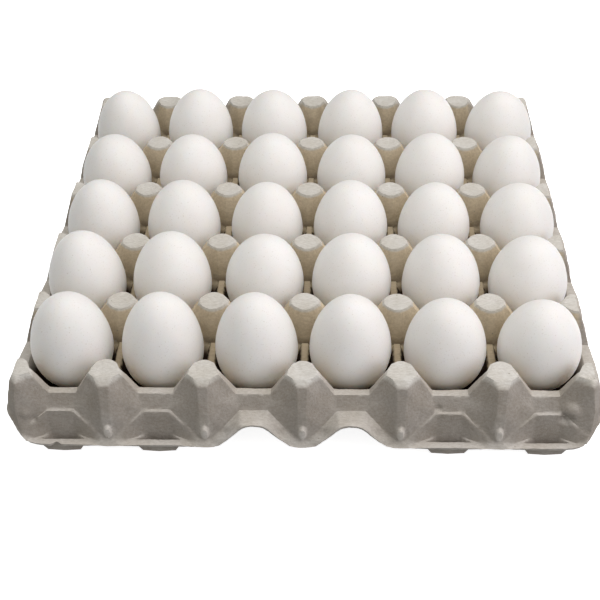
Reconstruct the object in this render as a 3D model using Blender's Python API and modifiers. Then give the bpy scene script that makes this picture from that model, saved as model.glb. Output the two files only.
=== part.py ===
# A moulded-pulp tray for thirty eggs, six columns by five rows, with an egg in every pocket.
# The tray is one thin sheet: tapered pockets, round-topped posts between them, high ridges
# that run left to right, low ridges that run front to back, and a scalloped outer rim.

import math
import random

import bmesh
import bpy
from mathutils import Vector
from mathutils.bvhtree import BVHTree

# Driving dimensions of the tray, in metres
COLUMNS = 6
ROWS = 5
COLUMN_PITCH = 0.048
ROW_PITCH = 0.0528
TRAY_HEIGHT = 0.047
PULP = 0.0018

# Heights of the pulp's upper face, measured down from the post tops
HIGH_RIDGE = -0.013
LOW_RIDGE = -0.020
CRADLE = -0.027
POCKET_FLOOR = -(TRAY_HEIGHT - PULP)

# A quarter of a pocket, as distances from the pocket's centre along X and Y
HALF_COLUMN = COLUMN_PITCH / 2
HALF_ROW = ROW_PITCH / 2
PAD = ((0.0065, 0.0035), (0.0052, 0.0068), (0.0030, 0.0090))
CRADLE_RING = ((0.0185, 0.0060), (0.0102, 0.0114), (0.0060, 0.0200))
RIDGE_FLAT = 0.0087
POST_RADIUS = 0.0070
LOW_RIDGE_HALF = 0.0015
HIGH_RIDGE_HALF = 0.0022
POST_FOOT = 0.0110

# Where the outermost posts and ridges differ from the inner ones
SIDE_POST_INSET = 0.0037
SIDE_POST_CUT = 0.0035
SIDE_RIDGE_OUT = 0.0044
SIDE_FOOT_OUT = 0.0032
SIDE_RIDGE_HALF = 0.0013
SIDE_NOSE_HALF = 0.0024
END_RIDGE_OUT = 0.0020

# The pockets of the front and back rims that have a cup hanging in front, and half of its
# mouth and floor, as distances along X, out from the row line and down, in millimetres
CUP_COLUMNS = (0, 1, 4, 5)
CUP_MOUTH = ((0, 8.8, -36.4), (6.4, 8.8, -36.4), (11.4, 12.4, -36.4), (0, 12.4, -36.4))
CUP_FLOOR = ((0, 9.2, -42.9), (4.6, 9.2, -42.9), (7.2, 11.9, -42.9), (0, 11.9, -42.9))
NICHE_END = (14.0, 12.4, -36.4)

# The eggs by row from the front, each row from left to right, in millimetres:
# width, sideways place in the pocket and height of the egg's top above the post tops
MM = 0.001
EGG_WIDTHS = (
    (41.5, 41.6, 41.9, 41.6, 41.5, 41.7),
    (41.6, 42.5, 42.4, 42.9, 42.0, 42.0),
    (41.3, 42.1, 41.3, 42.4, 41.2, 42.0),
    (41.7, 41.5, 42.3, 41.8, 42.3, 40.9),
    (40.6, 41.8, 42.6, 41.8, 42.5, 42.5),
)
EGG_PLACES = (
    (2.0, 0.3, 0.0, -0.5, -0.9, -1.6),
    (0.6, -0.8, 1.4, 0.4, 0.6, -0.9),
    (0.8, -0.2, 0.0, 0.2, 0.2, -0.2),
    (0.5, -0.2, 0.8, 1.0, 1.0, -0.1),
    (0.0, -0.7, -0.8, 0.7, 0.5, 0.1),
)
EGG_TOPS = (
    (22.7, 22.3, 22.4, 21.7, 20.0, 18.9),
    (22.1, 21.7, 20.4, 21.5, 20.8, 19.4),
    (20.9, 20.2, 19.0, 19.8, 18.7, 18.7),
    (18.7, 18.7, 19.6, 18.5, 19.4, 18.4),
    (20.8, 21.0, 20.9, 20.7, 20.8, 19.7),
)
EGG_BLUNT_END = 0.60
EGG_SIDES = 14
EGG_RINGS = 7
EGG_GAP = 0.00045
LEAN_SEED = 30
MOST_LEAN = math.radians(2.5)


# Scene, collection and materials
def clear_scene():
    for old in list(bpy.data.objects):
        bpy.data.objects.remove(old, do_unlink=True)


def make_collection(name):
    collection = bpy.data.collections.new(name)
    bpy.context.scene.collection.children.link(collection)
    return collection


def make_material(name, colour, roughness):
    material = bpy.data.materials.new(name)
    material.use_nodes = True
    shader = material.node_tree.nodes["Principled BSDF"]
    shader.inputs["Base Color"].default_value = (*colour, 1.0)
    shader.inputs["Roughness"].default_value = roughness
    shader.inputs["Metallic"].default_value = 0.0
    return material


class Sheet:
    """The upper face of the pulp, built in pieces that share their edges."""

    def __init__(self):
        self.mesh = bmesh.new()
        self.place = None

    def at(self, centre, turn_x, turn_y):
        """Pieces that follow are placed from this point, mirrored where a turn is -1."""
        self.place = (centre[0], centre[1], turn_x, turn_y)

    def face(self, *points):
        x, y, turn_x, turn_y = self.place
        corners = []
        for across, along, height in points:
            spot = Vector((x + turn_x * across, y + turn_y * along, TRAY_HEIGHT + height))
            if not corners or (spot - corners[-1]).length > 1e-7:
                corners.append(spot)
        if (corners[0] - corners[-1]).length <= 1e-7:
            corners.pop()
        if len(corners) < 3:
            return
        if turn_x * turn_y < 0:
            corners.reverse()
        self.mesh.faces.new([self.mesh.verts.new(spot) for spot in corners])

    def loft(self, left, right, first=0, last=None):
        """Faces between two profiles that run from the top of the rim to its outer edge."""
        last = len(left) - 1 if last is None else last
        for row in range(first, last):
            self.face(left[row], right[row], right[row + 1], left[row + 1])


# One quarter of a pocket with its share of the ridges and the post
def quarter_pocket(sheet, side_column, end_row):
    inset = SIDE_POST_INSET if side_column else 0.0
    post_edge = HALF_COLUMN - SIDE_POST_CUT if side_column else HALF_COLUMN
    ridge_edge = HALF_COLUMN + SIDE_RIDGE_OUT if side_column else HALF_COLUMN
    ridge_side = HALF_COLUMN - (SIDE_RIDGE_HALF if side_column else LOW_RIDGE_HALF)
    row_edge = HALF_ROW + END_RIDGE_OUT if end_row else HALF_ROW
    ridge_inner = HALF_ROW - (0.0002 if end_row else HIGH_RIDGE_HALF)

    flat_end = RIDGE_FLAT - inset
    post_side = HALF_COLUMN - POST_RADIUS - inset
    diagonal = POST_RADIUS * math.cos(math.radians(45))
    nose_side = HALF_COLUMN - (SIDE_NOSE_HALF if side_column else LOW_RIDGE_HALF) - inset
    post_front = HALF_ROW - POST_RADIUS
    foot = HALF_ROW - POST_FOOT

    pad = [(x, y, POCKET_FLOOR) for x, y in PAD]
    cradle = [(x, y, CRADLE) for x, y in CRADLE_RING]
    foot_corner = (ridge_side, foot, LOW_RIDGE)
    ridge_corner = (flat_end, ridge_inner, HIGH_RIDGE)
    crease = (0.0155 - inset * 0.6, ridge_inner - 0.0040, -0.0168)
    nose_top = (nose_side, post_front, 0.0)
    post_corner = (HALF_COLUMN - diagonal - inset, HALF_ROW - diagonal, 0.0)
    slope_top = (post_side, ridge_inner, 0.0)
    post_back = (post_side, row_edge, 0.0)
    post_outer = (post_edge, post_front, 0.0)
    foot_outer = (HALF_COLUMN + (SIDE_FOOT_OUT if side_column else 0.0), foot, LOW_RIDGE)
    ridge_back = (flat_end, row_edge, HIGH_RIDGE)
    ridge_middle = (0, ridge_inner, HIGH_RIDGE)

    sheet.face((0, 0, POCKET_FLOOR), (pad[0][0], 0, POCKET_FLOOR), *pad, (0, pad[2][1], POCKET_FLOOR))
    rings = (
        ((ridge_side, 0, LOW_RIDGE), foot_corner, crease, ridge_corner, ridge_middle),
        ((cradle[0][0], 0, CRADLE), *cradle, (0, cradle[2][1], CRADLE)),
        ((pad[0][0], 0, POCKET_FLOOR), *pad, (0, pad[2][1], POCKET_FLOOR)),
    )
    for outer, inner in zip(rings, rings[1:]):
        for step in range(len(outer) - 1):
            sheet.face(inner[step], outer[step], outer[step + 1], inner[step + 1])

    sheet.face(foot_corner, nose_top, crease)
    sheet.face(crease, nose_top, post_corner)
    sheet.face(crease, post_corner, slope_top)
    sheet.face(crease, slope_top, ridge_corner)

    sheet.face(nose_top, post_outer, (post_edge, row_edge, 0), post_back, slope_top, post_corner)
    sheet.face(foot_corner, foot_outer, post_outer, nose_top)
    sheet.face((ridge_side, 0, LOW_RIDGE), (ridge_edge, 0, LOW_RIDGE), foot_outer, foot_corner)
    sheet.face(ridge_corner, slope_top, post_back, ridge_back)
    sheet.face(ridge_middle, ridge_corner, ridge_back, (0, row_edge, HIGH_RIDGE))


# Profiles of the front and back rims, from the middle of the ridge to the outer edge
def end_profiles(cup):
    """Distances along X from the pocket's centre, out from the row line, and down, in millimetres."""
    arch = ((0, 15.5, -22.5), (5.5, 15.5, -23.4), (12.5, 15.5, -32.4))
    level = ((0, 15.5, -37.4), (7.0, 15.5, -37.4), (14.5, 15.5, -37.6))
    band = ((0, 7, -21), (7, 7, -21), (15, 11.3, -28.6), (22, 13.7, -34.4))
    cup_band = ((0, 7, -21), (7, 7, -21), (15.4, 10.9, -27.6), (22, 13.7, -34.4))
    ledge = ((0, 8.3, -21.3), (6.2, 8.3, -21.3), (14.1, 11.3, -28.4), (20.4, 14.3, -35.4))
    edge = level if cup else arch
    upper = cup_band if cup else band
    lower = ledge if cup else band
    return (
        ((0, 2, -13), (0, 4, -13), (0, 4, -13), (0, 4, -13), upper[0], lower[0], edge[0]),
        ((8.7, 2, -13), (8.7, 4, -13), (8.7, 4, -13), (8.7, 4, -13), upper[1], lower[1], edge[1]),
        ((17, 2, 0), (16.3, 3.6, 0), (16, 5, -5), (15.3, 8.5, -15.5), upper[2], lower[2], edge[2]),
        ((17, 2, 0), (19.5, 6.5, 0), (21.5, 10, -3), (22, 13, -18), upper[3], lower[3], (18.5, 15.8, -37.9)),
        ((24, 2, 0), (24, 6.5, 0), (24, 10, -3), (24, 13, -18), (24, 14, -34.6), (24, 14, -34.6),
         (24, 15.8, -38.4)),
    )


def corner_profiles():
    """The outer half of a corner pocket's rim, round the tray's corner to its side."""
    return (
        ((0, 2, -13), (0, 4, -13), (0, 4, -13), (0, 4, -13), (0, 7, -21), (0, 8.3, -21.3),
         (0, 15.5, -37.4)),
        ((5, 2, -13), (5, 4, -13), (5, 4, -13), (5, 4, -13), (6, 7, -21), (6.2, 8.3, -21.3),
         (7, 15.5, -37.4)),
        ((13.3, 2, 0), (12.7, 3.6, 0), (12.5, 5, -5), (13.4, 8.5, -15.5), (15.4, 10.9, -27.6),
         (14.1, 11.3, -28.4), (14.3, 15.4, -37.0)),
        ((20.5, 2, 0), (17.8, 5.6, 0), (19.2, 8.5, -3), (21.2, 10.6, -17), (20.5, 12.0, -29),
         (19.5, 13.0, -32), (18.7, 14.8, -35.6)),
        ((20.5, 2, 0), (20.5, 4.4, 0), (22.3, 5.6, -3.5), (25.3, 6.2, -17.5), (24.6, 6.8, -24.5),
         (24.9, 7.2, -25.4), (25.2, 8.2, -27)),
        ((20.5, 2, 0), (20.5, 2, 0), (22.2, 1.6, -4.5), (27.0, -0.5, -18), (28.2, 0.0, -26),
         (28.8, -0.1, -27), (30.0, -0.5, -28.5)),
        ((20.5, -7, 0), (20.5, -7, 0), (22, -6.6, -5), (27, -6.8, -19), (28.6, -7.4, -26.5),
         (29.0, -8, -27), (30.4, -9.5, -28)),
    )


# Profiles of the left and right rims
def side_profiles():
    """Distances out from the pocket's centre, along Y from it, and down, in millimetres."""
    ridge = (28.4, 0, -20)
    foot = (27.2, 15.4, -20)
    return (
        (ridge, ridge, ridge, ridge, (29.2, 0, -24), (29.2, 0, -24), (30.6, 0, -25.5)),
        (foot, foot, foot, foot, (28.6, 11, -27), (28.6, 11, -27), (30.4, 10, -28.5)),
        ((20.5, 19.4, 0), (20.5, 19.4, 0), (22, 20, -5), (27, 20, -19), (28.7, 19.5, -33),
         (28.7, 19.5, -33), (30.4, 18, -35.5)),
        ((20.5, 26.4, 0), (20.5, 26.4, 0), (22, 26.4, -5), (27.2, 26.4, -18), (28.9, 26.4, -34.5),
         (28.9, 26.4, -34.5), (30.6, 26.4, -37.5)),
    )


def cup_half(sheet, ledge, outer, neck, shoulder):
    """Half of a cup hanging from the rim: its niche, its floor and the straight strip in front."""
    mouth = [(x * MM, out * MM + HALF_ROW, down * MM) for x, out, down in CUP_MOUTH]
    floor = [(x * MM, out * MM + HALF_ROW, down * MM) for x, out, down in CUP_FLOOR]
    niche_end = (NICHE_END[0] * MM, NICHE_END[1] * MM + HALF_ROW, NICHE_END[2] * MM)
    sheet.face(ledge[0], ledge[1], mouth[1], mouth[0])
    sheet.face(ledge[1], ledge[2], mouth[1])
    sheet.face(ledge[2], niche_end, mouth[1])
    sheet.face(mouth[1], niche_end, mouth[2])
    for step in range(3):
        sheet.face(mouth[step], mouth[step + 1], floor[step + 1], floor[step])
    sheet.face(*floor)
    sheet.face(mouth[3], mouth[2], outer[1], outer[0])
    sheet.face(mouth[2], niche_end, outer[2], outer[1])
    sheet.face(ledge[2], neck, niche_end)
    sheet.face(niche_end, neck, shoulder, outer[2])


def in_metres(profiles, along):
    """Profiles given from a row line, moved to be measured from the pocket's centre."""
    return [[(x * MM, y * MM + along, z * MM) for x, y, z in profile] for profile in profiles]


def end_rim_half(sheet, column, corner):
    cup = column in CUP_COLUMNS
    profiles = in_metres(corner_profiles() if corner else end_profiles(cup), HALF_ROW)
    for number, (left, right) in enumerate(zip(profiles, profiles[1:])):
        if cup and number < 3:
            sheet.loft(left, right, last=5)
        else:
            sheet.loft(left, right)
    if cup:
        ledge = [profile[5] for profile in profiles[:3]]
        outer = [profile[6] for profile in profiles[:3]]
        cup_half(sheet, ledge, outer, profiles[3][5], profiles[3][6])


def side_rim_half(sheet, to_corner):
    profiles = in_metres(side_profiles(), 0.0)
    if to_corner:
        profiles = profiles[:2] + [in_metres(corner_profiles(), HALF_ROW)[-1]]
    for left, right in zip(profiles, profiles[1:]):
        sheet.loft(right, left)


def pocket_centre(column, row):
    x = (column - (COLUMNS - 1) / 2) * COLUMN_PITCH
    y = (row - (ROWS - 1) / 2) * ROW_PITCH
    return x, y


def build_tray(collection, material):
    sheet = Sheet()
    for column in range(COLUMNS):
        for row in range(ROWS):
            for turn_x in (-1, 1):
                for turn_y in (-1, 1):
                    side = column + turn_x not in range(COLUMNS)
                    end = row + turn_y not in range(ROWS)
                    sheet.at(pocket_centre(column, row), turn_x, turn_y)
                    quarter_pocket(sheet, side, end)
                    if end:
                        end_rim_half(sheet, column, side)
                    if side:
                        side_rim_half(sheet, end)
    bmesh.ops.remove_doubles(sheet.mesh, verts=sheet.mesh.verts, dist=1e-6)
    bmesh.ops.dissolve_limit(sheet.mesh, angle_limit=0.004, verts=sheet.mesh.verts, edges=sheet.mesh.edges)
    mesh = bpy.data.meshes.new("tray")
    sheet.mesh.to_mesh(mesh)
    sheet.mesh.free()
    mesh.materials.append(material)
    tray = bpy.data.objects.new("tray", mesh)
    collection.objects.link(tray)
    wall = tray.modifiers.new("pulp thickness", "SOLIDIFY")
    wall.thickness = PULP
    wall.offset = -1.0
    wall.use_even_offset = False
    wall.use_quality_normals = True
    wall.thickness_clamp = 1.0
    wall.use_thickness_angle_clamp = True
    rest_on_floor(tray)
    return tray


def rest_on_floor(tray):
    """Applies the wall's thickness and makes the underside of every pad level."""
    bpy.context.view_layer.update()
    evaluated = tray.evaluated_get(bpy.context.evaluated_depsgraph_get())
    thick = bpy.data.meshes.new_from_object(evaluated)
    for vertex in thick.vertices:
        if vertex.co.z < PULP / 2:
            vertex.co.z = 0.0
    tray.modifiers.clear()
    tray.data = thick


# Eggs, each a turned profile with the narrower end up
def egg_profile(width, above, below):
    """Points from the top of the egg down to its bottom, with the widest place at height zero."""
    points = []
    for ring in range(EGG_RINGS):
        turn = math.pi * ring / (EGG_RINGS - 1)
        height = math.cos(turn) * (above if turn < math.pi / 2 else below)
        slim = 1.0 - 0.06 * math.sin(2 * turn) * math.cos(turn) if turn < math.pi / 2 else 1.0
        points.append((width / 2 * math.sin(turn) * slim, height))
    points[0] = (0.0, points[0][1])
    points[-1] = (0.0, points[-1][1])
    return points


def make_egg(name, width, above, below, collection, material):
    mesh = bpy.data.meshes.new(name)
    profile = [(x, 0.0, z) for x, z in egg_profile(width, above, below)]
    mesh.from_pydata(profile, [(i, i + 1) for i in range(len(profile) - 1)], [])
    mesh.materials.append(material)
    egg = bpy.data.objects.new(name, mesh)
    collection.objects.link(egg)
    turn = egg.modifiers.new("turned egg", "SCREW")
    turn.steps = EGG_SIDES
    turn.render_steps = EGG_SIDES
    turn.use_merge_vertices = True
    turn.merge_threshold = 0.00005
    turn.use_smooth_shade = True
    return egg


def resting_height(surface, x, y, width, below, lean):
    """How low the egg's widest place can go before the shell is EGG_GAP from the pulp."""
    shell = []
    for level in range(1, 14):
        turn = math.pi / 2 * (1 + level / 14)
        for side in range(EGG_SIDES * 2):
            angle = math.pi * side / EGG_SIDES
            radius = width / 2 * math.sin(turn)
            spot = Vector((radius * math.cos(angle), radius * math.sin(angle), below * math.cos(turn)))
            shell.append(lean @ spot)
    low, high = TRAY_HEIGHT - 0.030, TRAY_HEIGHT + 0.010
    for _ in range(16):
        height = (low + high) / 2
        clear = True
        for point in shell:
            spot = point + Vector((x, y, height))
            found, normal, _, distance = surface.find_nearest(spot)
            if distance < EGG_GAP or (spot - found).dot(normal) < 0:
                clear = False
                break
        low, high = (low, height) if clear else (height, high)
    return high


def build_eggs(tray, collection, material):
    surface = BVHTree.FromObject(tray, bpy.context.evaluated_depsgraph_get())
    draw = random.Random(LEAN_SEED)
    for row in range(ROWS):
        for column in range(COLUMNS):
            width = EGG_WIDTHS[row][column] * MM
            aside = EGG_PLACES[row][column] * MM
            top = EGG_TOPS[row][column] * MM
            x, y = pocket_centre(column, row)
            lean = Vector((draw.uniform(-1, 1), draw.uniform(-1, 1))) * MOST_LEAN
            egg = make_egg(f"egg_row{row + 1}_{column + 1}", 0.001, 0.001, 0.001, collection, material)
            egg.rotation_euler = (lean.x, lean.y, 0.0)
            turned = egg.rotation_euler.to_matrix()
            below = width * EGG_BLUNT_END
            height = resting_height(surface, x + aside, y, width, below, turned)
            egg.location = (x + aside, y, height)
            above = TRAY_HEIGHT + top - height
            for vertex, (out, up) in zip(egg.data.vertices, egg_profile(width, above, below)):
                vertex.co = (out, 0.0, up)


def main():
    clear_scene()
    collection = make_collection("egg tray with eggs")
    pulp = make_material("grey pulp", (0.45, 0.41, 0.36), 0.95)
    shell = make_material("white eggshell", (0.84, 0.80, 0.75), 0.45)
    tray = build_tray(collection, pulp)
    bpy.context.view_layer.update()
    build_eggs(tray, collection, shell)


main()
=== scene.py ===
# %% [markdown]
# # A moulded-pulp tray filled with eggs
# The tray is one thin sheet of recycled paper pulp, sucked onto a mould and dried. Thirty
# white eggs stand in it, point up. The sheet is modelled first as a coarse cage of its folds.
# The cage is given its thickness, then refined, softened and given the relief of pulp. The
# eggs are one rule with other sizes.

# %% Load the frame
import math

import bmesh
import bpy
import numpy as np
from mathutils import Matrix, Vector, kdtree, noise


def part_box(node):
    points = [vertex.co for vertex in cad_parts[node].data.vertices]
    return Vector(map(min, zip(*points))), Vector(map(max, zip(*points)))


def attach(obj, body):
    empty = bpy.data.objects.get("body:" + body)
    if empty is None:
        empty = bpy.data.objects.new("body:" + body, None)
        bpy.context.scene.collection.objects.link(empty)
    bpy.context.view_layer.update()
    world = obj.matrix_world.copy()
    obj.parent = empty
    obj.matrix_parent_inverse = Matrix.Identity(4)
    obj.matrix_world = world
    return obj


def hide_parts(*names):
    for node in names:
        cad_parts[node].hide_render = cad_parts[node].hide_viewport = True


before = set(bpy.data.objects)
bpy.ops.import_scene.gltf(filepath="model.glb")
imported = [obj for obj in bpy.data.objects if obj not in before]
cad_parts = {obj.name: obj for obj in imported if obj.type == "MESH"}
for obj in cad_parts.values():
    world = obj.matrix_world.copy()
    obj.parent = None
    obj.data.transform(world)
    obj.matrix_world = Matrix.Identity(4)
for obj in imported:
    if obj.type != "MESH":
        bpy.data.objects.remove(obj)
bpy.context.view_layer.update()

MM = 0.001

# %% [markdown]
# ## Small helpers
# Colours are written as sRGB hex values, as a colour picker shows them, and one function
# turns them to the linear values that shaders use. Two others add a node and its links.


# %% Colour and node helpers
def linear(hex_colour):
    """The linear RGBA of an sRGB colour such as #E8E2DA."""
    parts = [int(hex_colour[i:i + 2], 16) / 255 for i in (1, 3, 5)]
    values = [p / 12.92 if p <= 0.04045 else ((p + 0.055) / 1.055) ** 2.4 for p in parts]
    return (*values, 1.0)


def add(tree, kind, inputs=None, **settings):
    """Adds a node. inputs maps a socket's name or number to a value or to another socket."""
    node = tree.nodes.new(kind)
    for name, value in settings.items():
        setattr(node, name, value)
    for key, value in (inputs or {}).items():
        if isinstance(value, bpy.types.NodeSocket):
            tree.links.new(value, node.inputs[key])
        else:
            node.inputs[key].default_value = value
    return node


def maths(tree, operation, *values):
    """Adds a Math node and returns its result."""
    return add(tree, "ShaderNodeMath", dict(enumerate(values)), operation=operation).outputs[0]


def per_metre(millimetres):
    """A texture's scale, from the size of its grains in millimetres."""
    return 1 / (millimetres * MM)


def new_object(name, mesh):
    piece = bpy.data.objects.new(name, mesh)
    bpy.context.scene.collection.objects.link(piece)
    return piece


# %% [markdown]
# ## The camera, the light and the floor
# The camera looks down on the tray from in front, as in a catalogue picture. Its place and
# lens were fitted to where the post tops lie in the picture, with the row pitch below taken
# as given. A large soft light hangs above the tray, to its right, and a weaker one stands
# lower down beside it. A surround that is brighter above than below fills the shadows, so
# the eggs show only gentle shading.

# %% Camera
camera_data = bpy.data.cameras.new("camera")
camera_data.sensor_width = 36.0
camera_data.lens = 67.5
camera_data.clip_start = 0.01
camera = bpy.data.objects.new("camera", camera_data)
camera.location = (0.0164, -0.5333, 0.4153)
camera.rotation_euler = [math.radians(angle) for angle in (51.00, 0.93, 1.64)]
bpy.context.scene.collection.objects.link(camera)
bpy.context.scene.camera = camera

# %% Light and surround
LIGHTS_AIM = Vector((0, 0, 0.03))
LIGHTS = {
    "overhead softbox": ((0.34, -0.10, 0.92), (1.1, 1.1), 5.1, "#FFFBFA"),
    "right-hand fill": ((0.95, -0.45, 0.42), (0.6, 0.6), 2.8, "#F8F4FF"),
}
for name, (place, size, power, colour) in LIGHTS.items():
    lamp = bpy.data.lights.new(name, "AREA")
    lamp.shape = "RECTANGLE"
    lamp.size, lamp.size_y = size
    lamp.energy = power
    lamp.color = linear(colour)[:3]
    light = bpy.data.objects.new(name, lamp)
    light.location = place
    light.rotation_euler = (LIGHTS_AIM - Vector(place)).to_track_quat("-Z", "Y").to_euler()
    bpy.context.scene.collection.objects.link(light)

world = bpy.data.worlds.new("white surround")
world.use_nodes = True
background = world.node_tree.nodes["Background"]
background.inputs["Color"].default_value = linear("#FCFDFC")
heading = add(world.node_tree, "ShaderNodeTexCoord").outputs["Generated"]
height = add(world.node_tree, "ShaderNodeSeparateXYZ", {"Vector": heading}).outputs["Z"]
glow = add(world.node_tree, "ShaderNodeMapRange", {
    "Value": height, "From Min": -0.10, "From Max": 0.70, "To Min": 0.23, "To Max": 0.68,
})
world.node_tree.links.new(glow.outputs["Result"], background.inputs["Strength"])
bpy.context.scene.world = world
bpy.context.scene.view_settings.view_transform = "Standard"

# %% Floor
FLOOR_REACH = 3.0
FLOOR_DROP = 0.0004
floor_mesh = bpy.data.meshes.new("floor")
floor_signs = ((-1, -1), (1, -1), (1, 1), (-1, 1))
floor_corners = [(x * FLOOR_REACH, y * FLOOR_REACH, 0) for x, y in floor_signs]
floor_mesh.from_pydata(floor_corners, [], [(0, 1, 2, 3)])
floor = new_object("floor", floor_mesh)
floor.location.z = -FLOOR_DROP
floor.visible_diffuse = False
floor_finish = bpy.data.materials.new("lit white board")
floor_finish.use_nodes = True
floor_shader = floor_finish.node_tree.nodes["Principled BSDF"]
floor_shader.inputs["Base Color"].default_value = linear("#FBFBFB")
floor_shader.inputs["Roughness"].default_value = 0.9
floor_shader.inputs["Emission Color"].default_value = linear("#FFFFFF")
floor_shader.inputs["Emission Strength"].default_value = 0.85
floor_mesh.materials.append(floor_finish)

# %% [markdown]
# ## Sizes of the tray
# Six columns by five rows of pockets. Heights are measured down from the tops of the posts,
# because all the posts end in one plane. Sizes across are measured from a pocket's centre,
# or from the outermost lines of posts.

# %% Driving sizes
COLUMNS = 6
ROWS = 5
COLUMN_PITCH = 0.048
ROW_PITCH = 0.0528
TRAY_HEIGHT = 0.047
PULP = 0.0018

# Heights of the pulp's upper face, measured down from the post tops
HIGH_RIDGE = -0.013
LOW_RIDGE = -0.020
CRADLE = -0.027
POCKET_FLOOR = -(TRAY_HEIGHT - PULP)

# A quarter of a pocket, as distances from the pocket's centre along X and Y
HALF_COLUMN = COLUMN_PITCH / 2
HALF_ROW = ROW_PITCH / 2
PAD = ((0.0065, 0.0035), (0.0052, 0.0068), (0.0030, 0.0090))
CRADLE_RING = ((0.0185, 0.0060), (0.0102, 0.0114), (0.0060, 0.0200))
RIDGE_FLAT = 0.0087
POST_RADIUS = 0.0070
LOW_RIDGE_HALF = 0.0015
HIGH_RIDGE_HALF = 0.0022
POST_FOOT = 0.0110
CREASE = (0.0155, 0.0040, -0.0168)
CREASE_INSET = 0.6

# Where the outermost posts and ridges differ from the inner ones
SIDE_POST_INSET = 0.0037
SIDE_POST_CUT = 0.0035
SIDE_RIDGE_OUT = 0.0044
SIDE_FOOT_OUT = 0.0032
SIDE_RIDGE_HALF = 0.0013
SIDE_NOSE_HALF = 0.0024
END_RIDGE_OUT = 0.0020
END_RIDGE_HALF = 0.0002

# The columns whose pockets at the front and back have a cup hanging from the rim, half of its
# mouth and floor, and the niche's end: along X, out from the row line and down, in millimetres
CUP_COLUMNS = (0, 1, 4, 5)
CUP_MOUTH = ((0, 8.8, -36.4), (6.4, 8.8, -36.4), (11.4, 12.4, -36.4), (0, 12.4, -36.4))
CUP_FLOOR = ((0, 9.2, -42.9), (4.6, 9.2, -42.9), (7.2, 11.9, -42.9), (0, 11.9, -42.9))
NICHE_END = (14.0, 12.4, -36.4)
HALF_LENGTH = HALF_ROW * ROWS
HALF_WIDTH = HALF_COLUMN * COLUMNS


# %% [markdown]
# ## The cage of the tray
# A pocket is the same four times over, so one quarter of it is drawn and mirrored. Each
# quarter has its share of the pad the egg stands on, the tapered wall, the low ridge that
# runs front to back, the high ridge that runs left to right, and the post where they meet.

# %% The sheet and a quarter of a pocket
SAME_POINT = 1e-7


class Sheet:
    """The upper face of the pulp, built in pieces that share their edges."""

    def __init__(self):
        self.mesh = bmesh.new()
        self.place = None

    def at(self, centre, turn_x, turn_y):
        """Pieces that follow are placed from this point, mirrored where a turn is -1."""
        self.place = (centre[0], centre[1], turn_x, turn_y)

    def face(self, *points):
        """One face through these points. Points in one place are taken as one."""
        x, y, turn_x, turn_y = self.place
        corners = []
        for across, along, height in points:
            spot = Vector((x + turn_x * across, y + turn_y * along, TRAY_HEIGHT + height))
            if not corners or (spot - corners[-1]).length > SAME_POINT:
                corners.append(spot)
        if (corners[0] - corners[-1]).length <= SAME_POINT:
            corners.pop()
        if len(corners) < 3:
            return
        if turn_x * turn_y < 0:
            corners.reverse()
        self.mesh.faces.new([self.mesh.verts.new(spot) for spot in corners])

    def loft(self, left, right, last=None):
        """Faces between two profiles that run from the top of the rim to its outer edge."""
        last = len(left) - 1 if last is None else last
        for row in range(last):
            self.face(left[row], right[row], right[row + 1], left[row + 1])


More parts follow.
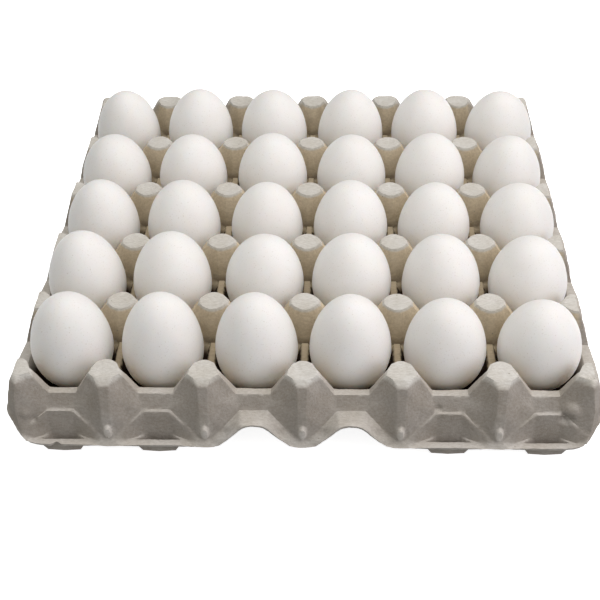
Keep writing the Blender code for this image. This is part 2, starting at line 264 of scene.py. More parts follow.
def quarter_pocket(sheet, side_column, end_row):
    """One quarter of a pocket, which may lie at a side rim or at the front or back rim."""
    inset = SIDE_POST_INSET if side_column else 0.0
    post_edge = HALF_COLUMN - SIDE_POST_CUT if side_column else HALF_COLUMN
    ridge_edge = HALF_COLUMN + SIDE_RIDGE_OUT if side_column else HALF_COLUMN
    ridge_side = HALF_COLUMN - (SIDE_RIDGE_HALF if side_column else LOW_RIDGE_HALF)
    row_edge = HALF_ROW + END_RIDGE_OUT if end_row else HALF_ROW
    ridge_inner = HALF_ROW - (END_RIDGE_HALF if end_row else HIGH_RIDGE_HALF)

    flat_end = RIDGE_FLAT - inset
    post_side = HALF_COLUMN - POST_RADIUS - inset
    diagonal = POST_RADIUS * math.cos(math.radians(45))
    nose_side = HALF_COLUMN - (SIDE_NOSE_HALF if side_column else LOW_RIDGE_HALF) - inset
    post_front = HALF_ROW - POST_RADIUS
    foot = HALF_ROW - POST_FOOT

    pad = [(x, y, POCKET_FLOOR) for x, y in PAD]
    cradle = [(x, y, CRADLE) for x, y in CRADLE_RING]
    foot_corner = (ridge_side, foot, LOW_RIDGE)
    ridge_corner = (flat_end, ridge_inner, HIGH_RIDGE)
    crease = (CREASE[0] - inset * CREASE_INSET, ridge_inner - CREASE[1], CREASE[2])
    nose_top = (nose_side, post_front, 0.0)
    post_corner = (HALF_COLUMN - diagonal - inset, HALF_ROW - diagonal, 0.0)
    slope_top = (post_side, ridge_inner, 0.0)
    post_back = (post_side, row_edge, 0.0)
    post_outer = (post_edge, post_front, 0.0)
    foot_outer = (HALF_COLUMN + (SIDE_FOOT_OUT if side_column else 0.0), foot, LOW_RIDGE)
    ridge_back = (flat_end, row_edge, HIGH_RIDGE)
    ridge_middle = (0, ridge_inner, HIGH_RIDGE)

    sheet.face((0, 0, POCKET_FLOOR), (pad[0][0], 0, POCKET_FLOOR), *pad, (0, pad[2][1], POCKET_FLOOR))
    rings = (
        ((ridge_side, 0, LOW_RIDGE), foot_corner, crease, ridge_corner, ridge_middle),
        ((cradle[0][0], 0, CRADLE), *cradle, (0, cradle[2][1], CRADLE)),
        ((pad[0][0], 0, POCKET_FLOOR), *pad, (0, pad[2][1], POCKET_FLOOR)),
    )
    for outer, inner in zip(rings, rings[1:]):
        for step in range(len(outer) - 1):
            sheet.face(inner[step], outer[step], outer[step + 1], inner[step + 1])

    sheet.face(foot_corner, nose_top, crease)
    sheet.face(crease, nose_top, post_corner)
    sheet.face(crease, post_corner, slope_top)
    sheet.face(crease, slope_top, ridge_corner)

    sheet.face(nose_top, post_outer, (post_edge, row_edge, 0), post_back, slope_top, post_corner)
    sheet.face(foot_corner, foot_outer, post_outer, nose_top)
    sheet.face((ridge_side, 0, LOW_RIDGE), (ridge_edge, 0, LOW_RIDGE), foot_outer, foot_corner)
    sheet.face(ridge_corner, slope_top, post_back, ridge_back)
    sheet.face(ridge_middle, ridge_corner, ridge_back, (0, row_edge, HIGH_RIDGE))


# %% [markdown]
# ## The rims
# The front and back rims step down from the ridge in a dark band to a flange. In the outer
# columns the flange is level and a small cup hangs from it; in the two middle columns it
# rises in an arch. The side rims are plainer: they swing out below each post. Each rim is a
# loft between profiles, given in millimetres: along the rim, outwards, and down.

# %% Rim profiles
def end_profiles(cup):
    """Distances along X from the pocket's centre, out from the row line, and down, in mm."""
    arch = ((0, 15.5, -22.5), (5.5, 15.5, -23.4), (12.5, 15.5, -32.4))
    level = ((0, 15.5, -37.4), (7.0, 15.5, -37.4), (14.5, 15.5, -37.6))
    band = ((0, 7, -21), (7, 7, -21), (15, 11.3, -28.6), (22, 13.7, -34.4))
    cup_band = ((0, 7, -21), (7, 7, -21), (15.4, 10.9, -27.6), (22, 13.7, -34.4))
    ledge = ((0, 8.3, -21.3), (6.2, 8.3, -21.3), (14.1, 11.3, -28.4), (20.4, 14.3, -35.4))
    edge = level if cup else arch
    upper = cup_band if cup else band
    lower = ledge if cup else band
    return (
        ((0, 2, -13), (0, 4, -13), (0, 4, -13), (0, 4, -13), upper[0], lower[0], edge[0]),
        ((8.7, 2, -13), (8.7, 4, -13), (8.7, 4, -13), (8.7, 4, -13), upper[1], lower[1], edge[1]),
        ((17, 2, 0), (16.3, 3.6, 0), (16, 5, -5), (15.3, 8.5, -15.5), upper[2], lower[2], edge[2]),
        ((17, 2, 0), (19.5, 6.5, 0), (21.5, 10, -3), (22, 13, -18), upper[3], lower[3],
         (18.5, 15.8, -37.9)),
        ((24, 2, 0), (24, 6.5, 0), (24, 10, -3), (24, 13, -18), (24, 14, -34.6), (24, 14, -34.6),
         (24, 15.8, -38.4)),
    )


def corner_profiles():
    """The outer half of a corner pocket's rim, round the tray's corner to its side."""
    return (
        ((0, 2, -13), (0, 4, -13), (0, 4, -13), (0, 4, -13), (0, 7, -21), (0, 8.3, -21.3),
         (0, 15.5, -37.4)),
        ((5, 2, -13), (5, 4, -13), (5, 4, -13), (5, 4, -13), (6, 7, -21), (6.2, 8.3, -21.3),
         (7, 15.5, -37.4)),
        ((13.3, 2, 0), (12.7, 3.6, 0), (12.5, 5, -5), (13.4, 8.5, -15.5), (15.4, 10.9, -27.6),
         (14.1, 11.3, -28.4), (14.3, 15.4, -37.0)),
        ((20.5, 2, 0), (17.8, 5.6, 0), (19.2, 8.5, -3), (21.2, 10.6, -17), (20.5, 12.0, -29),
         (19.5, 13.0, -32), (18.7, 14.8, -35.6)),
        ((20.5, 2, 0), (20.5, 4.4, 0), (22.3, 5.6, -3.5), (25.3, 6.2, -17.5), (24.6, 6.8, -24.5),
         (24.9, 7.2, -25.4), (25.2, 8.2, -27)),
        ((20.5, 2, 0), (20.5, 2, 0), (22.2, 1.6, -4.5), (27.0, -0.5, -18), (28.2, 0.0, -26),
         (28.8, -0.1, -27), (30.0, -0.5, -28.5)),
        ((20.5, -7, 0), (20.5, -7, 0), (22, -6.6, -5), (27, -6.8, -19), (28.6, -7.4, -26.5),
         (29.0, -8, -27), (30.4, -9.5, -28)),
    )


def side_profiles():
    """Distances out from the pocket's centre, along Y from it, and down, in millimetres."""
    ridge = (28.4, 0, -20)
    foot = (27.2, 15.4, -20)
    return (
        (ridge, ridge, ridge, ridge, (29.2, 0, -24), (29.2, 0, -24), (30.6, 0, -25.5)),
        (foot, foot, foot, foot, (28.6, 11, -27), (28.6, 11, -27), (30.4, 10, -28.5)),
        ((20.5, 19.4, 0), (20.5, 19.4, 0), (22, 20, -5), (27, 20, -19), (28.7, 19.5, -33),
         (28.7, 19.5, -33), (30.4, 18, -35.5)),
        ((20.5, 26.4, 0), (20.5, 26.4, 0), (22, 26.4, -5), (27.2, 26.4, -18), (28.9, 26.4, -34.5),
         (28.9, 26.4, -34.5), (30.6, 26.4, -37.5)),
    )


# %% Rims and cups
def in_metres(profiles, along):
    """Profiles given from a row line, moved to be measured from the pocket's centre."""
    return [[(x * MM, y * MM + along, z * MM) for x, y, z in profile] for profile in profiles]


def cup_half(sheet, ledge, outer, neck, shoulder):
    """Half of a cup hanging from the rim: its niche, its floor and the strip in front."""
    mouth = [(x * MM, out * MM + HALF_ROW, down * MM) for x, out, down in CUP_MOUTH]
    floor = [(x * MM, out * MM + HALF_ROW, down * MM) for x, out, down in CUP_FLOOR]
    niche_end = (NICHE_END[0] * MM, NICHE_END[1] * MM + HALF_ROW, NICHE_END[2] * MM)
    sheet.face(ledge[0], ledge[1], mouth[1], mouth[0])
    sheet.face(ledge[1], ledge[2], mouth[1])
    sheet.face(ledge[2], niche_end, mouth[1])
    sheet.face(mouth[1], niche_end, mouth[2])
    for step in range(3):
        sheet.face(mouth[step], mouth[step + 1], floor[step + 1], floor[step])
    sheet.face(*floor)
    sheet.face(mouth[3], mouth[2], outer[1], outer[0])
    sheet.face(mouth[2], niche_end, outer[2], outer[1])
    sheet.face(ledge[2], neck, niche_end)
    sheet.face(niche_end, neck, shoulder, outer[2])


def end_rim_half(sheet, column, corner):
    """The front or back rim along half a pocket, with half a cup where the column has one."""
    cup = column in CUP_COLUMNS
    profiles = in_metres(corner_profiles() if corner else end_profiles(cup), HALF_ROW)
    for number, (left, right) in enumerate(zip(profiles, profiles[1:])):
        if cup and number < 3:
            sheet.loft(left, right, last=5)
        else:
            sheet.loft(left, right)
    if cup:
        ledge = [profile[5] for profile in profiles[:3]]
        outer = [profile[6] for profile in profiles[:3]]
        cup_half(sheet, ledge, outer, profiles[3][5], profiles[3][6])


def side_rim_half(sheet, to_corner):
    """A side rim along half a pocket, up to the next post or to the tray's corner."""
    profiles = in_metres(side_profiles(), 0.0)
    if to_corner:
        profiles = profiles[:2] + [in_metres(corner_profiles(), HALF_ROW)[-1]]
    for left, right in zip(profiles, profiles[1:]):
        sheet.loft(right, left)


# %% [markdown]
# ## Repeating the pocket
# The twelve pockets away from the rims are alike, so they are one pocket that Geometry Nodes
# repeat on a grid. The pockets along the rims differ, and are drawn one by one around it.

# %% The grid of inner pockets
WELD = 1e-5


def pocket_centre(column, row):
    x = (column - (COLUMNS - 1) / 2) * COLUMN_PITCH
    y = (row - (ROWS - 1) / 2) * ROW_PITCH
    return x, y


def socket(tree, name, kind, default=None):
    """Adds a named input to a Geometry Nodes tree and returns its identifier."""
    made = tree.interface.new_socket(name, in_out="INPUT", socket_type=kind)
    if default is not None:
        made.default_value = default
    return made.identifier


def pocket_grid_tree():
    tree = bpy.data.node_groups.new("pockets on a grid", "GeometryNodeTree")
    socket(tree, "Pocket", "NodeSocketGeometry")
    names = {
        "columns": socket(tree, "Columns", "NodeSocketInt", 4),
        "rows": socket(tree, "Rows", "NodeSocketInt", 3),
        "width": socket(tree, "Grid Width", "NodeSocketFloat", 0.144),
        "length": socket(tree, "Grid Length", "NodeSocketFloat", 0.1056),
        "finish": socket(tree, "Finish", "NodeSocketMaterial"),
    }
    tree.interface.new_socket("Geometry", in_out="OUTPUT", socket_type="NodeSocketGeometry")
    given = tree.nodes.new("NodeGroupInput").outputs
    grid = add(tree, "GeometryNodeMeshGrid", {
        "Size X": given["Grid Width"],
        "Size Y": given["Grid Length"],
        "Vertices X": given["Columns"],
        "Vertices Y": given["Rows"],
    })
    placed = add(tree, "GeometryNodeInstanceOnPoints", {
        "Points": grid.outputs["Mesh"],
        "Instance": given["Pocket"],
    })
    real = add(tree, "GeometryNodeRealizeInstances", {"Geometry": placed.outputs["Instances"]})
    finish = add(tree, "GeometryNodeSetMaterial", {
        "Geometry": real.outputs["Geometry"],
        "Material": given["Finish"],
    })
    add(tree, "NodeGroupOutput", {"Geometry": finish.outputs["Geometry"]})
    return tree, names


def evaluated_mesh(piece, tree, values):
    """Runs a Geometry Nodes tree on an object and returns the plain mesh it makes."""
    modifier = piece.modifiers.new(tree.name, "NODES")
    modifier.node_group = tree
    for identifier, value in values.items():
        modifier[identifier] = value
    bpy.context.view_layer.update()
    graph = bpy.context.evaluated_depsgraph_get()
    mesh = bpy.data.meshes.new_from_object(piece.evaluated_get(graph))
    piece.modifiers.remove(modifier)
    return mesh


pulp_finish = bpy.data.materials.new("moulded grey pulp")
one_pocket = Sheet()
for turn_x in (-1, 1):
    for turn_y in (-1, 1):
        one_pocket.at((0, 0), turn_x, turn_y)
        quarter_pocket(one_pocket, False, False)
pocket_mesh = bpy.data.meshes.new("pocket")
one_pocket.mesh.to_mesh(pocket_mesh)
one_pocket.mesh.free()
pocket = new_object("pocket", pocket_mesh)
grid_tree, grid_names = pocket_grid_tree()
inner_mesh = evaluated_mesh(pocket, grid_tree, {
    grid_names["columns"]: COLUMNS - 2,
    grid_names["rows"]: ROWS - 2,
    grid_names["width"]: (COLUMNS - 3) * COLUMN_PITCH,
    grid_names["length"]: (ROWS - 3) * ROW_PITCH,
    grid_names["finish"]: pulp_finish,
})
bpy.data.objects.remove(pocket)
print("inner pockets:", len(inner_mesh.polygons), "faces")

# %% The pockets along the rims
sheet = Sheet()
sheet.mesh.from_mesh(inner_mesh)
for column in range(COLUMNS):
    for row in range(ROWS):
        if 0 < column < COLUMNS - 1 and 0 < row < ROWS - 1:
            continue
        for turn_x in (-1, 1):
            for turn_y in (-1, 1):
                side = column + turn_x not in range(COLUMNS)
                end = row + turn_y not in range(ROWS)
                sheet.at(pocket_centre(column, row), turn_x, turn_y)
                quarter_pocket(sheet, side, end)
                if end:
                    end_rim_half(sheet, column, side)
                if side:
                    side_rim_half(sheet, end)
bmesh.ops.remove_doubles(sheet.mesh, verts=sheet.mesh.verts, dist=WELD)
print("cage:", len(sheet.mesh.faces), "faces")

# %% [markdown]
# ## Giving the sheet its thickness
# The pulp is about 2 mm thick. Solidify adds the underside and the free edge to the cage,
# and every face keeps whether it is of the upper face, the underside or the free edge.

# %% Thickness
UPPER, UNDER, FREE_EDGE = 0, 1, 2


def thicken(mesh):
    """Adds the underside and the free edge to the cage."""
    data = bpy.data.meshes.new("cage")
    mesh.to_mesh(data)
    count = len(data.vertices)
    cage = new_object("cage", data)
    wall = cage.modifiers.new("pulp thickness", "SOLIDIFY")
    wall.thickness = PULP
    wall.offset = -1.0
    wall.use_even_offset = False
    wall.use_quality_normals = True
    wall.thickness_clamp = 1.0
    wall.use_thickness_angle_clamp = True
    bpy.context.view_layer.update()
    graph = bpy.context.evaluated_depsgraph_get()
    whole = bpy.data.meshes.new_from_object(cage.evaluated_get(graph))
    bpy.data.objects.remove(cage)
    mesh.clear()
    mesh.from_mesh(whole)
    for face in mesh.faces:
        below = sum(vertex.index >= count for vertex in face.verts)
        if below == 0:
            face.material_index = UPPER
        elif below == len(face.verts):
            face.material_index = UNDER
        else:
            face.material_index = FREE_EDGE


# %% [markdown]
# ## From cage to pulp
# The folds of pulp are crisp, but not sharp. The cage is cut into small triangles, finest on
# the nubs and in the dents, fine beside its folds, wider on the flats, and coarse low in the
# pockets and underneath. The points of the upper face are then moved once towards their
# neighbours, which takes the edge off the folds, and the free edge is smoothed along itself.

# %% Where the folds are
FOLD_ANGLE = math.radians(11)
FOLD_STEP = 1.0 * MM


def fold_points(mesh):
    """A search tree of points along the cage's folds and its free edge."""
    mesh.normal_update()
    points = []
    for fold in mesh.edges:
        if fold.is_boundary or len(fold.link_faces) != 2 or fold.calc_face_angle() > FOLD_ANGLE:
            start, end = fold.verts[0].co, fold.verts[1].co
            count = max(1, int((end - start).length / FOLD_STEP))
            points += [start.lerp(end, step / count) for step in range(count + 1)]
    tree = kdtree.KDTree(len(points))
    for number, point in enumerate(points):
        tree.insert(point, number)
    tree.balance()
    return tree


folds = fold_points(sheet.mesh)
thicken(sheet.mesh)

# %% Refine the cage
RIM_FOLD_EDGE = 1.9 * MM
FOLD_EDGE = 2.7 * MM
FLAT_EDGE = 4.8 * MM
HIDDEN_EDGE = 9.0 * MM
UNDER_EDGE = 10.0 * MM
DENT_EDGE = 1.6 * MM
HIDDEN_BELOW = -0.0262
NUB_EDGE = 0.8 * MM
NUB_HEIGHT = TRAY_HEIGHT - 29.6 * MM
REFINE_PASSES = 7

# How far fine triangles reach round the dents, along and up from the nubs and from the folds,
# and how much longer an edge may be for each metre beyond
DENT_MARGIN = 1.5 * MM
NUB_MARGIN_X = 3.5 * MM
NUB_MARGIN_Z = 6 * MM
FOLD_MARGIN = 1.3 * MM
COARSENING = 0.8

# Where the rims begin, from the outermost lines of posts, and the nubs' band of the end rims
END_RIM_INSET = 3 * MM
SIDE_RIM_INSET = 6 * MM
NUBS_BEYOND = 10 * MM
POSTS_X = [(i - COLUMNS / 2) * COLUMN_PITCH for i in range(COLUMNS + 1)]
POSTS_Y = [(j - ROWS / 2) * ROW_PITCH for j in range(ROWS + 1)]

# Dents by their middle and radius, and how far they push along X, Y and Z, in millimetres
DENTS = (
    ((-122.5, -148.0, 8.0), 3.2, (0.0, 2.6, 0.6)),
    ((130.5, -140.0, 28.0), 6.0, (0.0, -1.8, 0.6)),
    ((128.5, -141.0, 23.4), 4.2, (0.0, 2.4, -0.6)),
    ((66.3, -139.0, 27.5), 2.6, (0.0, 1.3, 0.0)),
    ((-136.5, -141.5, 25.5), 4.0, (-0.4, -1.2, 0.0)),
    ((-133.0, -142.5, 21.0), 2.8, (0.0, 1.2, 0.0)),
    ((139.5, -134.5, 46.0), 3.4, (0.0, 0.0, -1.3)),
)


def nearest(value, values):
    return min(values, key=lambda other: abs(other - value))


def longest_allowed(edge):
    """How long an edge may be where it lies."""
    spot = (edge.verts[0].co + edge.verts[1].co) / 2
    for middle, radius, _ in DENTS:
        if (spot - Vector(middle) * MM).length < radius * MM + DENT_MARGIN:
            return DENT_EDGE
    if all(face.material_index == UNDER for face in edge.link_faces):
        return UNDER_EDGE
    out = abs(spot.y) - HALF_LENGTH
    if out > NUBS_BEYOND and abs(spot.z - NUB_HEIGHT) < NUB_MARGIN_Z:
        if abs(spot.x - nearest(spot.x, POSTS_X[1:-1])) < NUB_MARGIN_X:
            return NUB_EDGE
    on_rim = out > -END_RIM_INSET or abs(spot.x) > HALF_WIDTH - SIDE_RIM_INSET
    if not on_rim and spot.z < TRAY_HEIGHT + HIDDEN_BELOW:
        return HIDDEN_EDGE
    beside_fold = RIM_FOLD_EDGE if out > 0 else FOLD_EDGE
    return min(FLAT_EDGE, beside_fold + max(0.0, folds.find(spot)[2] - FOLD_MARGIN) * COARSENING)


def refine(mesh):
    """Halves the edges that are too long where they lie, in at most REFINE_PASSES passes."""
    for _ in range(REFINE_PASSES):
        bmesh.ops.triangulate(mesh, faces=[face for face in mesh.faces if len(face.verts) > 3])
        long_edges = [edge for edge in mesh.edges if edge.calc_length() > longest_allowed(edge)]
        if not long_edges:
            break
        bmesh.ops.subdivide_edges(mesh, edges=long_edges, cuts=1, use_grid_fill=False)
    bmesh.ops.triangulate(mesh, faces=[face for face in mesh.faces if len(face.verts) > 3])


refine(sheet.mesh)
print("refined:", len(sheet.mesh.faces), "triangles")

# %% Round the folds
ROUNDING = 0.35
EDGE_ROUNDING = 0.5
EDGE_PASSES = 8


def round_folds(mesh):
    """Moves the upper face's points towards their neighbours, and the free edge along itself."""
    mesh.verts.index_update()
    places = np.array([v.co[:] for v in mesh.verts])
    ends = np.array([[v.index for v in e.verts] for e in mesh.edges])
    kinds = [{face.material_index for face in e.link_faces} for e in mesh.edges]
    rim = np.array([len(kind) > 1 for kind in kinds])
    upper = np.array([kind == {UPPER} for kind in kinds])
    on_rim = np.zeros(len(places), bool)
    on_rim[ends[rim].ravel()] = True
    steps = (
        (ends[rim], on_rim, EDGE_PASSES, EDGE_ROUNDING),
        (ends[upper], ~on_rim, 1, ROUNDING),
    )
    for links, wanted, times, share in steps:
        for _ in range(times):
            total = np.zeros_like(places)
            count = np.zeros(len(places))
            for here, there in ((0, 1), (1, 0)):
                used = wanted[links[:, here]]
                index = links[used, here]
                for axis in range(3):
                    total[:, axis] += np.bincount(index, places[links[used, there], axis], len(places))
                count += np.bincount(index, minlength=len(places))
            moved = count > 0
            places[moved] += share * (total[moved] / count[moved, None] - places[moved])
    for vertex, place in zip(mesh.verts, places):
        vertex.co = place


round_folds(sheet.mesh)
sheet.mesh.normal_update()

# %% [markdown]
# ## Relief, dishes and dents
# The pulp was pressed by a coarse screen and knocked about since. Every post top is a little
# dished and wrinkled, the walls are uneven, small nubs stand on the rim below the posts, and
# a few places on the front rim are dented.

# %% Relief
DISH_FLAT = 4.3 * MM
DISH_RADIUS = 5.9 * MM
NUB_OUT = 1.9 * MM
NUB_HALF_WIDTH = 2.5 * MM
NUB_HALF_HEIGHT = 4.6 * MM
FRAYED = 0.22 * MM
UNDER_RELIEF = 0.25
FRAY_GRAIN = 1.3
NUB_FULLNESS = 2.0
PAD_HEIGHT = 0.5 * MM

# The dish of a post top: how far down it reaches, how far in the outermost posts stand, its
# least and usual depth and their spread, and how much of it is even and how much crumpled
DISH_DOWN = 1.3 * MM
SIDE_DISH_INSET = 6.5 * MM
DISH_LEAST, DISH_USUAL, DISH_SPREAD = 0.15, 0.75, 1.5
EVEN_SHARE, CRUMPLED_SHARE = 0.45, 1.5
CRUMPLE_GRAIN = 3.2

# Layers of relief by the size of their hills and their height in millimetres, and an offset
RELIEF = (
    (19, 0.45, (0, 0, 0)),
    (6.5, 0.20, (7, 3, 1)),
    (2.6, 0.07, (2, 9, 4)),
)


def bump(distance):
    """A smooth hill: 1 in the middle, 0 from a distance of 1 on."""
    inside = max(0.0, 1.0 - distance * distance)
    return inside * inside


def post_dish(spot):
    """How far a post's top is sunk here, with wrinkles."""
    if spot.z < TRAY_HEIGHT - DISH_DOWN:
        return 0.0
    x, y = nearest(spot.x, POSTS_X), nearest(spot.y, POSTS_Y)
    if abs(x) > HALF_WIDTH - MM:
        x -= math.copysign(SIDE_DISH_INSET, x)
    distance = math.hypot(spot.x - x, spot.y - y)
    share = min(1.0, max(0.0, (DISH_RADIUS - distance) / (DISH_RADIUS - DISH_FLAT)))
    seed = Vector((x * 91, y * 57, 3.1))
    depth = max(DISH_LEAST, DISH_USUAL + DISH_SPREAD * noise.noise(seed * 7))
    crumple = abs(noise.noise(Vector((spot.x, spot.y, 0.0)) * per_metre(CRUMPLE_GRAIN) + seed))
    sunk = min(1.0, depth * (EVEN_SHARE + CRUMPLED_SHARE * crumple))
    return share * share * (3 - 2 * share) * sunk * MM


def rim_nub(spot):
    """How far the rim stands out here, on the nubs below the posts."""
    if abs(spot.y) < HALF_LENGTH + NUBS_BEYOND:
        return 0.0
    aside = (spot.x - nearest(spot.x, POSTS_X[1:-1])) / NUB_HALF_WIDTH
    down = (spot.z - NUB_HEIGHT) / NUB_HALF_HEIGHT
    return NUB_OUT * min(1.0, NUB_FULLNESS * bump(math.sqrt(aside * aside + abs(down) ** 3)))


def relief(spot):
    """Unevenness of the pulp along its normal."""
    height = 0.0
    for grain, tall, offset in RELIEF:
        height += tall * noise.noise(spot * per_metre(grain) + Vector(offset))
    return height * MM


def work_surface(mesh):
    """Gives the sheet its relief, its dished posts, its nubs and its frayed edge."""
    for vertex in mesh.verts:
        spot = vertex.co.copy()
        kinds = {face.material_index for face in vertex.link_faces}
        if kinds == {UNDER}:
            vertex.co -= vertex.normal * relief(spot) * UNDER_RELIEF
            continue
        if UNDER not in kinds:
            vertex.co += vertex.normal * relief(spot)
            vertex.co.z -= post_dish(spot)
            vertex.co.y += math.copysign(rim_nub(spot), spot.y)
        if FREE_EDGE in kinds:
            outward = Vector((spot.x / HALF_WIDTH, spot.y / HALF_LENGTH, 0.0))
            vertex.co += outward * FRAYED * noise.noise(spot * per_metre(FRAY_GRAIN))


def dent(mesh):
    """Pushes the sheet in or out round the middle of each dent."""
    for middle, radius, push in DENTS:
        middle = Vector(middle) * MM
        for vertex in mesh.verts:
            distance = (vertex.co - middle).length / (radius * MM)
            if distance < 1.0:
                vertex.co += Vector(push) * MM * bump(distance)


def rest_on_table(mesh):
    """Makes the undersides of the pads level."""
    for vertex in mesh.verts:
        if vertex.co.z < PAD_HEIGHT:
            vertex.co.z = 0.0


work_surface(sheet.mesh)
dent(sheet.mesh)
rest_on_table(sheet.mesh)

# %% The finished tray
CRISP_ANGLE = math.radians(38)


def finished(mesh, name):
    """The worked sheet as an object, smooth but for its sharp folds."""
    for face in mesh.faces:
        face.material_index = 0
    data = bpy.data.meshes.new(name)
    mesh.to_mesh(data)
    mesh.free()
    data.materials.clear()
    data.materials.append(pulp_finish)
    data.shade_smooth()
    data.set_sharp_from_angle(angle=CRISP_ANGLE)
    return new_object(name, data)


tray = finished(sheet.mesh, "pulp_tray")
print("tray:", sum(len(p.vertices) - 2 for p in tray.data.polygons), "triangles")
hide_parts("tray")
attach(tray, "root")

# %% [markdown]
# ## The eggs
# An egg is a sphere pulled longer at its narrow end than at its blunt end, and drawn in a
# little towards the point. One Geometry Nodes tree holds that rule. Each egg's width, height
# and lean come from its solid in the frame, so all thirty differ a little, as real ones do.

# %% The egg's rule
LUMP_SCALE = 1.1


def egg_tree():
    tree = bpy.data.node_groups.new("hen's egg", "GeometryNodeTree")
    names = {
        "width": socket(tree, "Width", "NodeSocketFloat", 0.042),
        "above": socket(tree, "Above Widest", "NodeSocketFloat", 0.031),
        "below": socket(tree, "Below Widest", "NodeSocketFloat", 0.025),
        "taper": socket(tree, "Taper", "NodeSocketFloat", 0.05),
        "uneven": socket(tree, "Unevenness", "NodeSocketFloat", 0.0002),
        "seed": socket(tree, "Seed", "NodeSocketFloat", 0.0),
        "finish": socket(tree, "Finish", "NodeSocketMaterial"),
    }
    tree.interface.new_socket("Geometry", in_out="OUTPUT", socket_type="NodeSocketGeometry")
    given = tree.nodes.new("NodeGroupInput").outputs
    ball = add(tree, "GeometryNodeMeshUVSphere", {"Segments": 56, "Rings": 40, "Radius": 1.0})
    place = add(tree, "GeometryNodeInputPosition").outputs["Position"]
    parts = add(tree, "ShaderNodeSeparateXYZ", {"Vector": place}).outputs
    upper = add(tree, "FunctionNodeCompare", {0: parts["Z"], 1: 0.0}, operation="GREATER_THAN")
    reach = add(tree, "GeometryNodeSwitch", {
        "Switch": upper.outputs["Result"],
        "False": given["Below Widest"],
        "True": given["Above Widest"],
    }, input_type="FLOAT").outputs["Output"]
    height = maths(tree, "MULTIPLY", parts["Z"], reach)
    towards_tip = maths(tree, "MAXIMUM", parts["Z"], 0.0)
    drawn_in = maths(tree, "MULTIPLY", towards_tip, given["Taper"])
    kept = maths(tree, "SUBTRACT", 1.0, drawn_in)
    width = maths(tree, "MULTIPLY", given["Width"], kept)
    radius = maths(tree, "MULTIPLY", width, 0.5)
    across = maths(tree, "MULTIPLY", parts["X"], radius)
    along = maths(tree, "MULTIPLY", parts["Y"], radius)
    shaped = add(tree, "ShaderNodeCombineXYZ", {"X": across, "Y": along, "Z": height}).outputs[0]
    lumps = add(tree, "ShaderNodeTexNoise", {
        "Vector": place, "W": given["Seed"], "Scale": LUMP_SCALE, "Detail": 1.0,
    }, noise_dimensions="4D").outputs["Fac"]
    centred = maths(tree, "SUBTRACT", lumps, 0.5)
    swell = maths(tree, "MULTIPLY", centred, given["Unevenness"])
    outward = add(tree, "ShaderNodeVectorMath", {0: place, "Scale": swell}, operation="SCALE").outputs[0]
    egg = add(tree, "GeometryNodeSetPosition", {
        "Geometry": ball.outputs["Mesh"],
        "Position": shaped,
        "Offset": outward,
    })
    smooth = add(tree, "GeometryNodeSetShadeSmooth", {"Geometry": egg.outputs["Geometry"]})
    real = add(tree, "GeometryNodeRealizeInstances", {"Geometry": smooth.outputs[0]})
    finish = add(tree, "GeometryNodeSetMaterial", {
        "Geometry": real.outputs["Geometry"],
        "Material": given["Finish"],
    })
    add(tree, "NodeGroupOutput", {"Geometry": finish.outputs["Geometry"]})
    return tree, names


# %% Thirty eggs
BLUNT_SHARE = 0.60
TAPER = 0.05
UNEVENNESS = 0.0007
shell_finish = bpy.data.materials.new("white eggshell")
egg_rule, egg_names = egg_tree()


def egg_frame(node):
    """The egg's width, its tip and its bottom, from its solid."""
    points = [vertex.co.copy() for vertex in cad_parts[node].data.vertices]
    tip = max(points, key=lambda point: point.z)
    bottom = min(points, key=lambda point: point.z)
    low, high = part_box(node)
    return high[0] - low[0], tip, bottom


def make_egg(row, column):
    """The shell that replaces one egg's solid, with its size, lean and place."""
    node = f"egg_row{row}_{column}"
    width, tip, bottom = egg_frame(node)
    axis = (tip - bottom).normalized()
    below = BLUNT_SHARE * width
    above = (tip - bottom).length - below
    empty = new_object(f"eggshell_row{row}_{column}", bpy.data.meshes.new(node))
    mesh = evaluated_mesh(empty, egg_rule, {
        egg_names["width"]: width,
        egg_names["above"]: above,
        egg_names["below"]: below,
        egg_names["taper"]: TAPER,
        egg_names["uneven"]: UNEVENNESS,
        egg_names["seed"]: row * 10.0 + column,
        egg_names["finish"]: shell_finish,
    })
    lean = Vector((0, 0, 1)).rotation_difference(axis).to_matrix().to_4x4()
    mesh.transform(Matrix.Translation(bottom + axis * below) @ lean)
    empty.data = mesh
    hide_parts(node)
    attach(empty, "root")
    return empty


eggs = [make_egg(row, column) for row in range(1, ROWS + 1) for column in range(1, COLUMNS + 1)]
print("eggs:", len(eggs), "with", len(eggs[0].data.polygons), "faces each")

# %% [markdown]
# ## Finish of the pulp
# Grey board pulp is recycled newspaper and carton, pressed wet. It is matt, a little warm,
# speckled with fibres and bits of print, and greyer outside. Its fibres are finer than a
# pixel, so they are drawn about two millimetres long. Part of its shade is painted: below
# the post tops it turns warmer and browner with depth between the eggs, by height and slope
# it turns dark brown low on the pockets' walls and floors, their outer faces too, and it is
# greyer on the steep faces of the rims than on level ones.

# %% Pulp material
def start_material(material):
    """Clears a material and returns its tree, its object coordinates and its shader."""
    material.use_nodes = True
    tree = material.node_tree
    tree.nodes.clear()
    coordinates = add(tree, "ShaderNodeTexCoord").outputs["Object"]
    shader = add(tree, "ShaderNodeBsdfPrincipled")
    add(tree, "ShaderNodeOutputMaterial", {"Surface": shader.outputs["BSDF"]})
    return tree, coordinates, shader


def ramp(tree, value, low, high):
    """The value's place between low and high, from 0 to 1."""
    scale = add(tree, "ShaderNodeMapRange", {"Value": value, "From Min": low, "From Max": high})
    return scale.outputs["Result"]


def mixed(tree, factor, first, second, blend="MIX"):
    """The first colour blended with the second one by the factor."""
    node = add(tree, "ShaderNodeMix", {0: factor, 6: first, 7: second}, data_type="RGBA", blend_type=blend)
    return node.outputs[2]


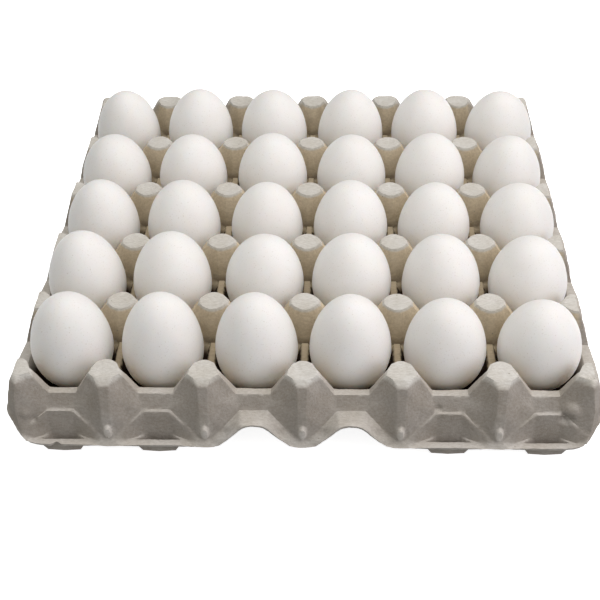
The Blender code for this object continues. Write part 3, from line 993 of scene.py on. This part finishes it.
def grains(tree, place, size, detail, roughness=0.5):
    """Noise with grains of about this size in millimetres, from 0 to 1."""
    return add(tree, "ShaderNodeTexNoise", {
        "Vector": place, "Scale": per_metre(size), "Detail": detail, "Roughness": roughness,
    }).outputs["Fac"]


# Where a colour starts and where it is full: heights above the table, distances past the
# outermost lines of posts, and slopes, which are 1 where the pulp is level and 0 where upright
BELOW_TOP = (0.0457, 0.0447)
DEPTH = (0.041, 0.014)
WALLS = (0.0310, 0.0250)
LOW_DOWN = (0.0263, 0.0232)
RIM_TOP = (0.0435, 0.0457)
PAST_END = (-0.0030, 0.0005)
PAST_SIDE = (-0.0050, -0.0015)
LIP = (0.0128, 0.0146)
WALL_SLOPE = (0.80, 0.55)
RIM_SLOPE = (0.35, 0.75)

tree, spot, shader = start_material(pulp_finish)
axes = add(tree, "ShaderNodeSeparateXYZ", {"Vector": spot}).outputs
facing = add(tree, "ShaderNodeTexCoord").outputs["Normal"]
slope = add(tree, "ShaderNodeSeparateXYZ", {"Vector": facing}).outputs["Z"]
along = maths(tree, "ABSOLUTE", axes["Y"])
across = maths(tree, "ABSOLUTE", axes["X"])
past_end = ramp(tree, along, *(HALF_LENGTH + out for out in PAST_END))
past_side = ramp(tree, across, *(HALF_WIDTH + out for out in PAST_SIDE))
outside = maths(tree, "MAXIMUM", past_end, past_side)

# Inside: the post tops; below them the walls turn warmer and browner with depth, which is painted shade;
# and the painted shadow, dark brown low on the walls and floors
below_top = ramp(tree, axes["Z"], *BELOW_TOP)
tops = mixed(tree, below_top, linear("#D9D6D0"), linear("#DBCCB2"))
# Painted shade: browner and darker the deeper the pulp lies between the eggs
body = mixed(tree, ramp(tree, axes["Z"], *DEPTH), tops, linear("#D0C1A4"))
on_walls = maths(tree, "MULTIPLY", ramp(tree, axes["Z"], *WALLS), ramp(tree, slope, *WALL_SLOPE))
deep = maths(tree, "MAXIMUM", on_walls, ramp(tree, axes["Z"], *LOW_DOWN))
shaded = mixed(tree, deep, body, linear("#33241A"))

# Outside: steep faces painted darker and greyer than level ones as painted shade, the lip of the flange,
# and the rim's own post tops
slope_painted_shade = mixed(tree, ramp(tree, slope, *RIM_SLOPE), linear("#B2ABA3"), linear("#CCC7C0"))
lip = ramp(tree, along, *(HALF_LENGTH + out for out in LIP))
rim = mixed(tree, lip, slope_painted_shade, linear("#D6D1CA"))
rim_top = mixed(tree, ramp(tree, axes["Z"], *RIM_TOP), rim, linear("#D9D6D0"))
based = mixed(tree, outside, shaded, rim_top)

# Over both: clouds, fibres and specks
cloud = grains(tree, spot, 14, 3.0)
clouded = mixed(tree, ramp(tree, cloud, 0.35, 0.70), linear("#F4F2EE"), linear("#FFFFFF"))
patchy = mixed(tree, 1.0, based, clouded, "MULTIPLY")
turned = add(tree, "ShaderNodeMapping", {
    "Vector": spot, "Rotation": (0.5, 0.3, 0.7), "Scale": (1.0, 3.2, 1.7),
}).outputs["Vector"]
fibre = grains(tree, turned, 2.2, 5.0, 0.65)
fibred = mixed(tree, ramp(tree, fibre, 0.38, 0.66), linear("#E2DFDB"), linear("#FFFFFF"))
tinted = mixed(tree, 0.75, patchy, fibred, "MULTIPLY")
specks = add(tree, "ShaderNodeTexVoronoi", {"Vector": spot, "Scale": per_metre(6.5)}).outputs["Distance"]
speckled = mixed(tree, ramp(tree, specks, 0.075, 0.045), tinted, linear("#A39A8C"))
tree.links.new(speckled, shader.inputs["Base Color"])
shader.inputs["Roughness"].default_value = 0.92
shader.inputs["Specular IOR Level"].default_value = 0.2
rough = maths(tree, "ADD", grains(tree, spot, 0.9, 4.0), fibre)
relief_bump = add(tree, "ShaderNodeBump", {"Strength": 0.5, "Distance": 0.0004, "Height": rough})
tree.links.new(relief_bump.outputs["Normal"], shader.inputs["Normal"])

# %% [markdown]
# ## Finish of the eggshell
# Eggshell is chalk, matt to satin, with fine pores. A white egg is not quite white: it is a
# little warm and clouded, and some light passes into the shell, which softens its shadows.

# %% Eggshell material
tree, spot, shader = start_material(shell_finish)
cloud = grains(tree, spot, 20, 2.0)
shade = mixed(tree, ramp(tree, cloud, 0.3, 0.7), linear("#EFEDEA"), linear("#EBE8E4"))
pores = grains(tree, spot, 0.7, 3.0)
pored = mixed(tree, ramp(tree, pores, 0.62, 0.74), shade, linear("#DAD4CC"))
tree.links.new(pored, shader.inputs["Base Color"])
shader.inputs["Roughness"].default_value = 0.52
shader.inputs["Specular IOR Level"].default_value = 0.35
shader.inputs["Subsurface Weight"].default_value = 0.30
shader.inputs["Subsurface Radius"].default_value = (1.0, 0.7, 0.5)
shader.inputs["Subsurface Scale"].default_value = 0.004
shell_bump = add(tree, "ShaderNodeBump", {"Strength": 0.10, "Distance": 0.0002, "Height": pores})
tree.links.new(shell_bump.outputs["Normal"], shader.inputs["Normal"])
